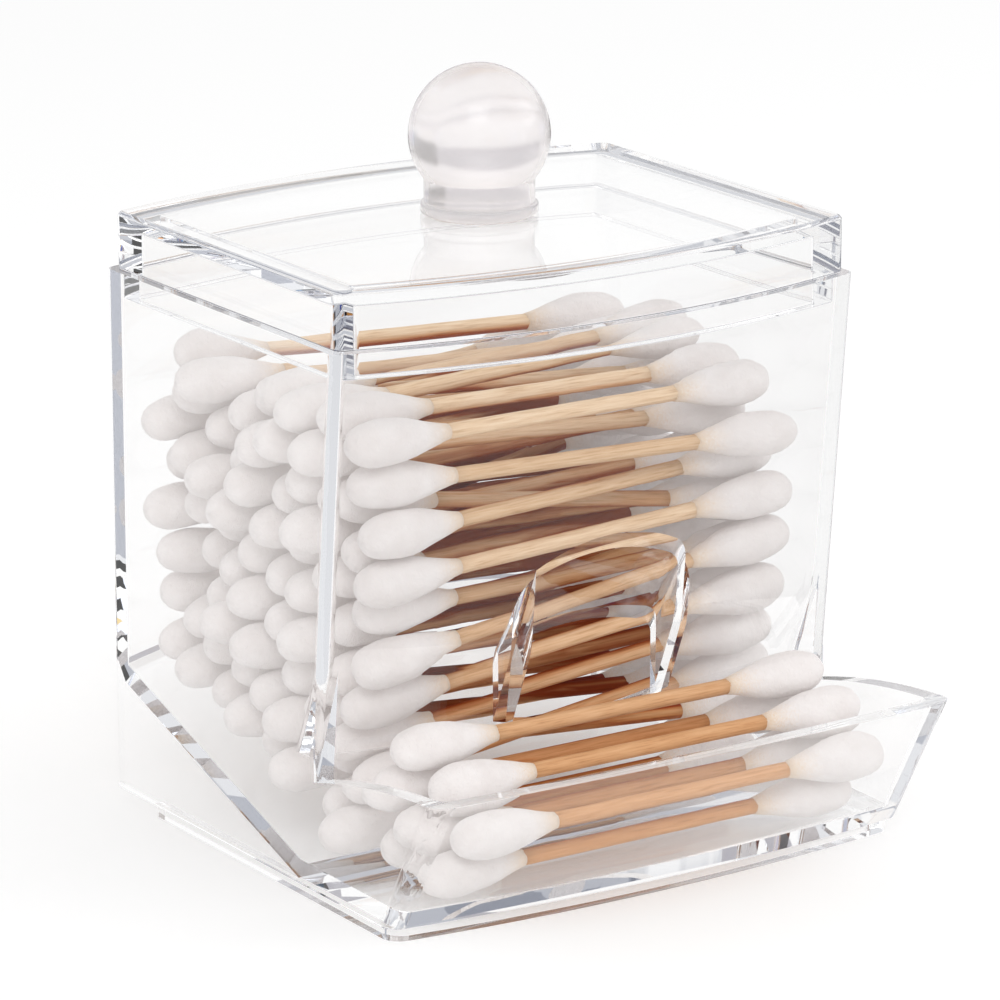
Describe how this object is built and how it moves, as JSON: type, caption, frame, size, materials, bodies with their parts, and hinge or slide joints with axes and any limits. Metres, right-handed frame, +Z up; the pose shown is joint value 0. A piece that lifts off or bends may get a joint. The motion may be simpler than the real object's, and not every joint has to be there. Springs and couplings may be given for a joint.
{
  "type": "cotton swab dispenser",
  "caption": "Clear box that feeds cotton swabs down a sloping chute to an open front tray, with a lift-off lid and ball knob.",
  "frame": {"origin": "on the surface that it stands on, under the middle of its bounding box", "axes": "+Z up, the tray and the notch face -Y, the swabs lie along X"},
  "size_m": [0.0914, 0.0986, 0.1149],
  "materials": {
    "clear_plastic": "clear gloss",
    "knob_plastic": "milky gloss",
    "cotton": "fluffy matte",
    "stick_wood": "matte"
  },
  "bodies": {
    "dispenser": {"housing": "clear_plastic", "swab_buds_01": "cotton", "swab_buds_02": "cotton", "swab_buds_03": "cotton", "swab_buds_04": "cotton", "swab_buds_05": "cotton", "swab_buds_06": "cotton", "swab_buds_07": "cotton", "swab_buds_08": "cotton", "swab_buds_09": "cotton", "swab_buds_10": "cotton", "swab_buds_11": "cotton", "swab_buds_12": "cotton", "swab_buds_13": "cotton", "swab_sticks_01": "stick_wood", "swab_sticks_02": "stick_wood", "swab_sticks_03": "stick_wood", "swab_sticks_04": "stick_wood", "swab_sticks_05": "stick_wood", "swab_sticks_06": "stick_wood", "swab_sticks_07": "stick_wood", "swab_sticks_08": "stick_wood", "swab_sticks_09": "stick_wood", "swab_sticks_10": "stick_wood", "swab_sticks_11": "stick_wood", "swab_sticks_12": "stick_wood", "swab_sticks_13": "stick_wood"},
    "lid": {"lid": "clear_plastic", "knob": "knob_plastic"}
  },
  "joints": [
    {"name": "lid_lift", "type": "slide", "parent": "dispenser", "child": "lid", "axis": [0, 0, 1], "range_m": [0, 0.04]}
  ]
}
